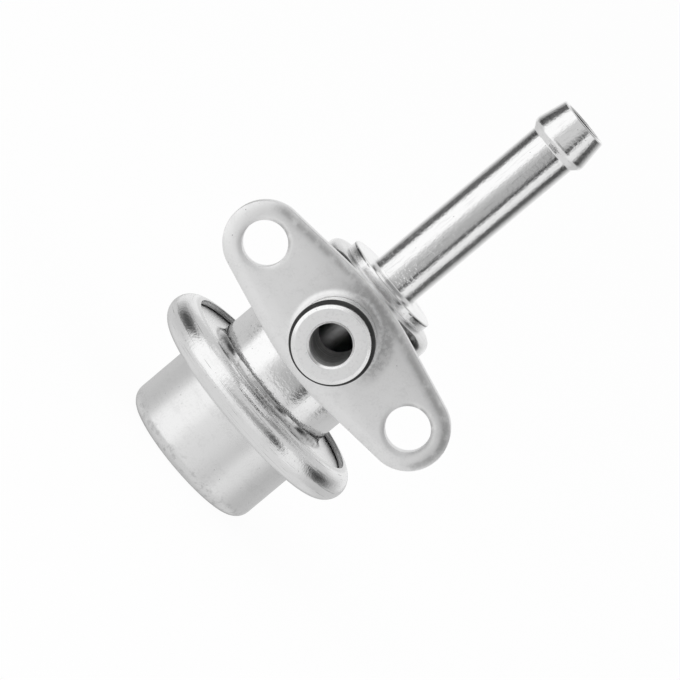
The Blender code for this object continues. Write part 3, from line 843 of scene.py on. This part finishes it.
def make_cover(finish):
    half = COVER_SHEET / 2
    wall = COVER_RADIUS - half
    roll = SEAM_ROLL - half
    outside = SEAM_RADIUS + roll
    middle = rounded([
        (0.0, half),
        (wall, half, COVER_CORNER - half),
        (wall, COVER_DEPTH + half, COVER_BEND + half),
        (outside, COVER_DEPTH + half, roll, 2 * FILLET_STEPS),
        (outside, seam_height + roll, roll, 2 * FILLET_STEPS),
        (SEAM_RADIUS - SEAM_LIP + half, seam_height + roll),
    ])
    cover = turned("drawn_cover", sheet(middle, COVER_SHEET, round_end=True), finish, LARGE_ROUNDS)
    vent = Matrix.Translation((0.0, VENT_PLACE, 0.0))
    return bored(cover, VENT_RADIUS, -COVER_SHEET, 2 * COVER_SHEET, vent)


def make_chamber(finish):
    half = CHAMBER_SHEET / 2
    wall = CHAMBER_RADIUS - half
    middle = rounded([
        (rim_radius, flange_top - half),
        (wall, flange_top - half, CHAMBER_BEND + half),
        (wall, chamber_top - half, CHAMBER_CORNER - half),
        (PIPE_RADIUS + FIT, chamber_top - half),
    ])
    chamber = turned("drawn_chamber", sheet(middle, CHAMBER_SHEET), finish, LARGE_ROUNDS)
    return bored(chamber, SPIGOT_TAIL_RADIUS + FIT, CHAMBER_RADIUS / 2, spigot_face, inlet_frame)


def make_pipe(finish):
    barb = pipe_tip - BARB_CONE
    return turned("hose_pipe", rounded([
        (pipe_bore, pipe_low),
        (PIPE_RADIUS, pipe_low, PIPE_EDGE),
        (PIPE_RADIUS, barb - BARB_BACK, BARB_CREST / 3),
        (BARB_RADIUS + BARB_EASE, barb, BARB_CREST),
        (PIPE_RADIUS, pipe_tip, PIPE_EDGE),
        (pipe_bore, pipe_tip, PIPE_EDGE),
    ]), finish)


def make_collar(finish):
    """Pressed collar with the braze below it and the fillet of braze round the pipe's foot."""
    braze = PIPE_RADIUS + 2 * BRAZE_TIP
    return turned("brazed_collar", rounded([
        (PIPE_RADIUS + BRAZE_TIP, chamber_top + BRAZE_TIP),
        (COLLAR_RADIUS - COLLAR_EDGE, chamber_top + BRAZE_TIP),
        (COLLAR_RADIUS - COLLAR_EDGE, collar_low, COLLAR_EDGE / 3),
        (COLLAR_RADIUS, collar_low, COLLAR_EDGE / 3),
        (COLLAR_RADIUS, collar_high, COLLAR_EDGE),
        (braze, collar_high, PIPE_BRAZE),
        (braze, collar_high + PIPE_BRAZE + BRAZE_TIP),
        (PIPE_RADIUS + BRAZE_TIP, collar_high + PIPE_BRAZE + BRAZE_TIP),
    ]), finish)


def make_spigot(finish):
    nose_low = spigot_face - SPIGOT_NOSE_LENGTH
    groove_floor = O_RING_RADIUS - 2 * O_RING_SECTION - FIT
    groove_low = nose_low - 2 * O_RING_SECTION - 2 * FIT
    shoulder = CHAMBER_RADIUS + FIT
    tail_end = shoulder - SPIGOT_TAIL_LENGTH
    return turned("turned_spigot", rounded([
        (SPIGOT_BORE, spigot_face - SPIGOT_CHAMFER),
        (SPIGOT_BORE + SPIGOT_CHAMFER, spigot_face, SPIGOT_EDGE),
        (SPIGOT_NOSE_RADIUS - SPIGOT_NOSE_SLOPE, spigot_face, SPIGOT_EDGE),
        (SPIGOT_NOSE_RADIUS, spigot_face - SPIGOT_CHAMFER, SPIGOT_EDGE),
        (SPIGOT_NOSE_RADIUS, nose_low),
        (groove_floor, nose_low),
        (groove_floor, groove_low),
        (SPIGOT_RADIUS, groove_low, PIPE_EDGE),
        (SPIGOT_RADIUS, shoulder),
        (SPIGOT_TAIL_RADIUS, shoulder),
        (SPIGOT_TAIL_RADIUS, tail_end, PIPE_EDGE),
        (SPIGOT_BORE, tail_end),
    ]), finish, place=inlet_frame)


def make_o_ring(finish):
    centre = Vector((
        O_RING_RADIUS - O_RING_SECTION,
        spigot_face - SPIGOT_NOSE_LENGTH - FIT - O_RING_SECTION,
    ))
    section = arc(centre, Vector((O_RING_SECTION, 0.0)), 2 * pi, 3 * FILLET_STEPS)
    return turned("black_o_ring", section[:-1], finish, place=inlet_frame)


def plate_outline(inset):
    """Two long side arcs and two end arcs along shared tangents, all moved in by an inset."""
    reach = BOLT_SPACING / 2
    side_centre = PLATE_HALF_WIDTH - PLATE_SIDE_RADIUS
    span = hypot(reach, side_centre)
    lean = atan2(reach, -side_centre) - acos((PLATE_SIDE_RADIUS - PLATE_END_RADIUS) / span)
    side = PLATE_SIDE_RADIUS - inset
    end = PLATE_END_RADIUS - inset
    half = []
    for step in range(PLATE_SIDE_STEPS):
        angle = -lean + 2 * lean * step / PLATE_SIDE_STEPS
        half.append((side * sin(angle), side_centre + side * cos(angle)))
    for step in range(PLATE_END_STEPS):
        angle = lean + (pi - 2 * lean) * step / PLATE_END_STEPS
        half.append((reach + end * sin(angle), end * cos(angle)))
    return half + [(-x, -y) for x, y in half]


def circle_at(centre, radius):
    angles = (2 * pi / SMALL_ROUNDS * step for step in range(SMALL_ROUNDS))
    return [(centre + radius * cos(angle), radius * sin(angle)) for angle in angles]


def rolled_edge(roll, drop, edge):
    """A wall from the back of the plate and the wide, shallow roll on its front edge."""
    shoulder = roll / 2
    slope = atan2(drop, shoulder)
    return rounded([
        (0.0, plate_back),
        (0.0, plate_front - drop, edge, EDGE_STEPS),
        (shoulder, plate_front, shoulder / tan(slope / 2), SHOULDER_STEPS),
        (2 * roll, plate_front),
    ])[:-1]


def brazed_edge():
    """A wall that rises out of the plate in a fillet of braze, up the side of the spigot."""
    top = plate_front + SPIGOT_BRAZE + BRAZE_TIP
    return rounded([
        (BRAZE_TIP, plate_back),
        (BRAZE_TIP, top),
        (2 * BRAZE_TIP, top),
        (2 * BRAZE_TIP, plate_front, SPIGOT_BRAZE),
        (3 * SPIGOT_BRAZE, plate_front),
    ])[:-1]


def make_plate(finish):
    """Punched plate: walls with rolled front edges, and flat faces round the holes."""
    build = bmesh.new()

    def wall(outline, section):
        """Adds a wall of outlines at the section's insets, and gives its end edges."""
        loops = [[build.verts.new((x, y, edge.y)) for x, y in outline(edge.x)] for edge in section]
        for low, high in zip(loops[:-1], loops[1:]):
            for index, vert in enumerate(low):
                build.faces.new((low[index - 1], vert, high[index], high[index - 1]))
        return [
            [build.edges.get((loop[index - 1], vert)) for index, vert in enumerate(loop)]
            for loop in (loops[0], loops[-1])
        ]

    bolt_edge = rolled_edge(HOLE_ROLL, HOLE_DROP, HOLE_EDGE)
    holes = (
        (0.0, SPIGOT_RADIUS, brazed_edge()),
        (BOLT_SPACING / 2, BOLT_HOLE_RADIUS, bolt_edge),
        (-BOLT_SPACING / 2, BOLT_HOLE_RADIUS, bolt_edge),
    )
    walls = [wall(plate_outline, rolled_edge(PLATE_ROLL, PLATE_DROP, PLATE_EDGE))]
    for centre, radius, section in holes:
        walls.append(wall(
            lambda inset, centre=centre, radius=radius: circle_at(centre, radius + inset), section
        ))
    for side in (0, 1):
        edges = [edge for rings in walls for edge in rings[side]]
        bmesh.ops.triangle_fill(build, use_beauty=True, edges=edges)
    plate = new_piece("punched_plate", bpy.data.meshes.new("punched_plate"))
    plate.data.materials.append(finish)
    return tidy(plate, build, inlet_frame @ Matrix.Rotation(PLATE_TURN, 4, "Z"))


# The pieces inside

def make_rim(finish):
    """The clamped rim of the diaphragm, which stays with the seam."""
    return turned("diaphragm_rim", rounded([
        (bead_radius, membrane_top),
        (bead_radius, bead_low, MEMBRANE / 4),
        (rim_radius, bead_low, MEMBRANE / 3),
        (rim_radius, membrane_top, MEMBRANE / 3),
    ]), finish)


def membrane_section():
    level = membrane_top - MEMBRANE / 2
    floor = level - FOLD_DEPTH
    middle = rounded([
        (MEMBRANE_HELD, level),
        (FOLD_RADIUS - FOLD_BEND, level, FOLD_EASE),
        (FOLD_RADIUS - FOLD_BEND, floor, FOLD_BEND),
        (FOLD_RADIUS + FOLD_BEND, floor, FOLD_BEND),
        (FOLD_RADIUS + FOLD_BEND, level, FOLD_EASE),
        (bead_radius, level),
    ])
    return sheet(middle, MEMBRANE)


def make_middle(finish):
    """The middle of the diaphragm, which lifts with its two plates."""
    low = membrane_top - MEMBRANE
    return turned("diaphragm_middle", section_of(
        (shank_hole, low),
        (MEMBRANE_HELD, low),
        (MEMBRANE_HELD, membrane_top),
        (shank_hole, membrane_top),
    ), finish)


def make_fold(finish, number):
    """One sector of the fold, between the clamped rim and the moving middle."""
    share = 2 * pi / FOLD_SECTORS
    start = Matrix.Rotation(share * number, 4, "Z")
    piece = turned(
        f"diaphragm_fold_{number + 1}", membrane_section(), finish, SECTOR_ROUNDS, start, share
    )
    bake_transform(piece)
    return piece


def make_dish(name, inner, low, rim, finish):
    """A pressed dish whose flat lies on a height and whose rim stands up or hangs down."""
    side = DISH_RADIUS - DISH_SHEET / 2
    face = low + DISH_SHEET / 2
    middle = rounded([(inner, face), (side, face, DISH_BEND), (side, face + rim)])
    return turned(name, sheet(middle, DISH_SHEET, round_end=True), finish)


def make_holder(finish):
    rivet_top = spring_dish_low - FIT
    rivet_end = rivet_top - HOLDER_RIVET_LENGTH
    recess = CLIP_RADIUS + FIT
    clip_shelf = ball_height + CLIP_LOW - FIT
    floor = asin(ball_spring_bore / socket_radius)
    outside = rounded([
        (0.0, rivet_end),
        (HOLDER_RIVET, rivet_end, HOLDER_RIVET_LENGTH / 2),
        (HOLDER_RIVET, rivet_top),
        (HOLDER_SHANK, rivet_top),
        (HOLDER_SHANK, head_low),
        (HOLDER_HEAD, head_low, PIPE_EDGE),
        (HOLDER_HEAD, head_top, PIPE_EDGE),
        (recess, head_top),
        (recess, clip_shelf),
        (socket_radius, clip_shelf),
    ])
    socket = arc(ball_centre, Vector((socket_radius, 0.0)), floor - pi / 2, 2 * FILLET_STEPS)
    spring_floor = ball_height - socket_radius - BALL_SPRING_ROOM + FIT
    bore = section_of((ball_spring_bore, spring_floor), (0.0, spring_floor))
    return turned("turned_holder", outside + socket + bore, finish)


def make_ball(finish):
    sweep = pi / 2 + asin(BALL_FLAT / BALL_RADIUS)
    round_side = arc(ball_centre, Vector((0.0, -BALL_RADIUS)), sweep, 4 * FILLET_STEPS)
    return turned("ground_ball", round_side + [ball_centre + Vector((0.0, BALL_FLAT))], finish)


def make_clip(finish):
    low = CLIP_LOW
    high = CLIP_LOW + CLIP_THICKNESS
    edge = CLIP_THICKNESS / 4
    return turned("ball_keeper", rounded([
        (sqrt(socket_radius**2 - low**2), ball_height + low),
        (CLIP_RADIUS, ball_height + low, edge),
        (CLIP_RADIUS, ball_height + high, edge),
        (sqrt(socket_radius**2 - high**2), ball_height + high),
    ]), finish)


def make_seat(finish):
    flange_low = seat_height + SEAT_LIP_HEIGHT
    flange_high = flange_low + SEAT_FLANGE
    sleeve = pipe_bore - FIT
    return turned("turned_seat", rounded([
        (SEAT_BORE, seat_height),
        (SEAT_BORE + SEAT_LIP, seat_height),
        (SEAT_BORE + 2 * SEAT_LIP, flange_low),
        (PIPE_RADIUS, flange_low, PIPE_EDGE / 2),
        (PIPE_RADIUS, flange_high, PIPE_EDGE / 2),
        (sleeve, flange_high),
        (sleeve, flange_high + SEAT_SLEEVE, PIPE_EDGE),
        (SEAT_BORE, flange_high + SEAT_SLEEVE),
    ]), finish)


def wound(name, node, finish, radius, wire, turns, dead_turns=0.0, dead_gap=0.0):
    """A spring as tall as its CAD node."""
    low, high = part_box(node)
    return grown(
        name, bpy.data.meshes.new(name), winding, sharp=WIRE_SHARP_ANGLE, radius=radius,
        wire=wire, low=low.z, high=high.z, turns=turns, dead_turns=dead_turns,
        dead_gap=dead_gap, finish=finish,
    )


def make_main_spring(finish):
    spring = wound(
        "wound_main_spring", "main_spring", finish, SPRING_RADIUS, SPRING_WIRE, SPRING_TURNS,
        SPRING_DEAD_TURNS, SPRING_DEAD_GAP,
    )
    low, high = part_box("main_spring")
    lift = next(joint for joint in frame["joints"] if joint["name"] == "valve_lift")
    travel = max(abs(limit) for limit in lift["range_m"])
    keep = 1 - travel / (high.z - low.z)
    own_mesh(spring)
    return spring


def make_ball_spring(finish):
    return wound(
        "wound_ball_spring", "ball_spring", finish, BALL_SPRING_RADIUS, BALL_SPRING_WIRE,
        BALL_SPRING_TURNS,
    )


# Studio

DOME_RADIUS = 220 * MM
DOME_HEIGHT = 15 * MM
DOME_SEGMENTS = 64

# Brightness of the cards round the object, by angle from the camera's side towards +X: at the
# object's own height, below it and above it
CARDS = (
    (-180, 0.94), (-150, 0.8), (-126, 0.36), (-117, 0.13), (-97, 0.12), (-92, 0.2), (-86, 0.5),
    (-80, 0.88), (-74, 1.0), (-35, 1.0), (-28, 0.86), (-22, 0.66), (-15, 0.56), (-9, 0.52),
    (0, 0.44), (19, 0.41), (28, 0.38), (33, 0.22), (38, 0.1), (43, 0.12), (47, 0.34), (51, 0.64),
    (57, 0.86), (72, 0.8), (80, 0.68), (86, 0.36), (91, 0.12), (106, 0.1), (114, 0.18),
    (122, 0.4), (150, 0.78), (180, 0.94),
)
BELOW_CARDS = (
    (-180, 0.6), (-128, 0.6), (-115, 0.57), (-98, 0.58), (-88, 0.64), (-80, 0.76), (-73, 0.97),
    (-66, 1.0), (-35, 1.0), (-27, 0.92), (-20, 0.83), (0, 0.78), (15, 0.76), (30, 0.68),
    (38, 0.63), (46, 0.68), (58, 0.82), (75, 0.76), (85, 0.66), (97, 0.55), (115, 0.52),
    (128, 0.55), (180, 0.6),
)
ABOVE_CARDS = (
    (-180, 0.6), (-96, 0.6), (-88, 1.0), (-38, 1.0), (-30, 0.62), (180, 0.6),
)

# Rises in degrees over which the cards change, and the brightness of what has no ring of cards
LOW_RISE = (-3.4, -1.2)
DIP_RISE = (8.0, 12.0, 20.0, 24.0)
DIP_DEPTH = 0.65
FRONT_SIDE = (radians(24), radians(12))
FRONT_RISE = (20.0, 27.0)
FRONT_LEVEL = 0.6
ABOVE_RISE = (28.0, 38.0)
CEILING_RISE = (52.0, 62.0)
CEILING_LEVEL = 0.28
CEILING_LEFT = 0.8
CEILING_LEFT_EDGE = (-35.0, -85.0)
GROUND_RISE = (-22.0, -38.0)
GROUND_LEVEL = 0.68
BEHIND_SIDE = (-0.88, -0.96)
BEHIND_RISE = (-50.0, -40.0, -21.0, -15.0)
BEHIND_LEVEL = 0.5

WHITE = (1.0, 1.0, 1.0, 1.0)
WORLD_LIGHT = 0.75
FLOOR_RADIUS = 4.0
FLOOR_DROP = 0.05 * MM
FLOOR_WHITE = 0.95
FARTHEST = 20.0
FLOOR_GREY = 0.9
FLOOR_ROUGHNESS = 0.9
LAMP_SIZE = 0.6


def staged(name, build):
    mesh = bpy.data.meshes.new(name)
    build.to_mesh(mesh)
    build.free()
    return new_piece(name, mesh)


def show(paint, shown):
    """Puts a shader in the place of the material's own."""
    paint.tree.links.new(shown.socket, paint.tree.nodes["Material Output"].inputs["Surface"])


def make_dome():
    """The white, grey and black cards, which only the object's metal sees."""
    build = bmesh.new()
    bmesh.ops.create_uvsphere(
        build, u_segments=DOME_SEGMENTS, v_segments=DOME_SEGMENTS // 2, radius=DOME_RADIUS,
        matrix=Matrix.Translation((0.0, 0.0, DOME_HEIGHT)),
    )
    dome = staged("studio_cards", build)
    paint = Paint("studio_cards")
    side = paint.x.maths("ARCTAN2", paint.y * -1.0) - CAMERA_SIDE
    rise = (paint.z - DOME_HEIGHT / MM).maths("ARCTAN2", paint.reach()) * (180 / pi)
    share = (side / (2 * pi)).maths("WRAP", 0.5, -0.5) + 0.5
    cards, below, above = (
        paint.ramp(share, [((angle + 180) / 360, level) for angle, level in stops])
        for stops in (CARDS, BELOW_CARDS, ABOVE_CARDS)
    )
    level = paint.mix(rise.fade(*LOW_RISE), below, cards)
    level = level * (1 - rise.band(*DIP_RISE) * (1 - level) * (1 - level) * DIP_DEPTH)
    ceiling = paint.mix(paint.x.fade(*CEILING_LEFT_EDGE), CEILING_LEVEL, CEILING_LEFT)
    for part, card in (
        (abs(side).fade(*FRONT_SIDE) * rise.fade(*FRONT_RISE), FRONT_LEVEL),
        (rise.fade(*ABOVE_RISE), above),
        (rise.fade(*CEILING_RISE), ceiling),
        (rise.fade(*GROUND_RISE), GROUND_LEVEL),
        (side.maths("COSINE").fade(*BEHIND_SIDE) * rise.band(*BEHIND_RISE), BEHIND_LEVEL),
    ):
        level = paint.mix(part, level, card)
    show(paint, paint.node("Emission", {"Color": level}))
    paint.material.cycles.emission_sampling = "NONE"
    dome.data.materials.append(paint.material)
    dome.visible_camera = dome.visible_diffuse = dome.visible_shadow = False


def seen_as_background(made):
    """1 for the camera's rays and for those that metal and glass send on."""
    camera = made.node("LightPath", output="Is Camera Ray")
    seen = camera + camera.output("Is Glossy Ray") + camera.output("Is Transmission Ray")
    return seen.under(1.0)


def make_world():
    """A white background, and plain light from every side."""
    world = bpy.data.worlds.new("studio")
    bpy.context.scene.world = world
    world.use_nodes = True
    world.node_tree.nodes.clear()
    made = Tree(world.node_tree)
    light, white = (
        made.node("Background", {"Color": WHITE, "Strength": strength})
        for strength in (WORLD_LIGHT, 1.0)
    )
    shown = made.node("MixShader", {0: seen_as_background(made), 1: light, 2: white})
    end = made.tree.nodes.new("ShaderNodeOutputWorld")
    made.tree.links.new(shown.socket, end.inputs["Surface"])


def make_floor():
    """A white floor under the flat end, which keeps a faint shadow and is clear from below."""
    build = bmesh.new()
    bmesh.ops.create_circle(
        build, cap_ends=True, radius=FLOOR_RADIUS, segments=DOME_SEGMENTS,
        matrix=Matrix.Translation((0.0, 0.0, -FLOOR_DROP)),
    )
    floor = staged("floor", build)
    paint = Paint("white_floor")
    paint.colour = FLOOR_GREY
    paint.surface(FLOOR_ROUGHNESS, metallic=0.0, specular=0.0)
    body = Value(paint.shader.outputs[0])
    white = paint.node("Emission", {"Color": WHITE})
    seen = seen_as_background(paint) * FLOOR_WHITE
    shown = paint.node("MixShader", {0: seen, 1: body, 2: white})
    below = paint.node("NewGeometry", output="Backfacing")
    clear = paint.node("BsdfTransparent")
    show(paint, paint.node("MixShader", {0: below, 1: shown, 2: clear}))
    floor.data.materials.append(paint.material)
    floor.visible_glossy = False


def make_lamp(name, place, power):
    """A soft lamp that looks at the object and doesn't show in its metal."""
    light = bpy.data.lights.new(name, "AREA")
    light.shape = "DISK"
    light.size = LAMP_SIZE
    light.energy = power
    lamp = new_piece(name, light)
    lamp.location = place
    lamp.rotation_euler = (AIM - Vector(place)).to_track_quat("-Z", "Y").to_euler()
    lamp.visible_glossy = False


def make_camera():
    towards = Vector((
        sin(CAMERA_SIDE) * cos(CAMERA_RISE),
        -cos(CAMERA_SIDE) * cos(CAMERA_RISE),
        sin(CAMERA_RISE),
    ))
    level = Vector((cos(CAMERA_SIDE), sin(CAMERA_SIDE), 0.0))
    up = towards.cross(level)
    right = level * cos(CAMERA_ROLL) - up * sin(CAMERA_ROLL)
    above = level * sin(CAMERA_ROLL) + up * cos(CAMERA_ROLL)
    data = bpy.data.cameras.new("photo_camera")
    camera = new_piece("photo_camera", data)
    turned_to = Matrix((right, above, towards)).transposed().to_4x4()
    camera.matrix_world = Matrix.Translation(AIM + towards * CAMERA_DISTANCE) @ turned_to
    data.sensor_width = SENSOR
    data.lens = PIXELS_PER_MM * CAMERA_DISTANCE / MM / PHOTO_SIZE * SENSOR
    data.shift_x = (PHOTO_SIZE / 2 - AIM_PIXEL[0]) / PHOTO_SIZE
    data.shift_y = (AIM_PIXEL[1] - PHOTO_SIZE / 2) / PHOTO_SIZE
    data.clip_end = FARTHEST
    bpy.context.scene.camera = camera


# Putting it together

def dress(piece, node, body="housing"):
    """Seats a finer piece on its body, in the place of its CAD node."""
    if body:
        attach(piece, body)
    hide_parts(node)


def build_object():
    cover = cover_finish()
    brass = metal_finish("turned_brass", (0.82, 0.62, 0.3), (0.62, 0.46, 0.24), 0.2, 0.16, 4.5, 0.2)
    wire = metal_finish("spring_wire", (0.42, 0.42, 0.43), (0.26, 0.25, 0.25), 0.2, 0.25, 2.2, 1.5)
    polish = metal_finish("polished_ball", 0.9, (0.82, 0.82, 0.83), 0.04, 0.06, 1.5, 1.5)
    membrane = membrane_finish()

    dress(make_cover(cover), "spring_cover")
    dress(make_chamber(chamber_finish()), "fuel_chamber")
    dress(make_pipe(pipe_finish()), "return_pipe")
    dress(make_collar(collar_finish()), "pipe_collar")
    dress(make_spigot(spigot_finish()), "inlet_spigot")
    dress(make_o_ring(rubber_finish()), "spigot_o_ring")
    dress(make_plate(plate_finish()), "mounting_plate")
    dress(make_seat(brass), "valve_seat")
    dress(
        make_dish("pressed_spring_seat", 0.0, spring_seat_low, SPRING_DISH_RIM, cover),
        "spring_seat",
    )
    dress(make_rim(membrane), "diaphragm")
    dress(make_middle(membrane), "diaphragm", "valve_group")
    for number in range(FOLD_SECTORS):
        dress(make_fold(membrane, number), "diaphragm", None)
    dress(
        make_dish("pressed_retainer", shank_hole, retainer_low, RETAINER_RIM, cover),
        "diaphragm_retainer", "valve_group",
    )
    dress(
        make_dish("pressed_spring_dish", shank_hole, spring_dish_low, -SPRING_DISH_RIM, cover),
        "spring_dish", "valve_group",
    )
    dress(make_holder(brass), "valve_holder", "valve_group")
    dress(make_clip(wire), "ball_clip", "valve_group")
    dress(make_ball_spring(wire), "ball_spring", "valve_group")
    dress(make_main_spring(wire), "main_spring")
    dress(make_ball(polish), "valve_ball", "ball")


def build_studio():
    bpy.context.scene.view_settings.view_transform = "Standard"
    make_camera()
    make_world()
    make_dome()
    make_floor()
    make_lamp("key_lamp", (-0.55, -0.6, 0.75), 2.0)
    make_lamp("fill_lamp", (0.6, -0.5, 0.5), 1.0)


build_studio()
build_object()
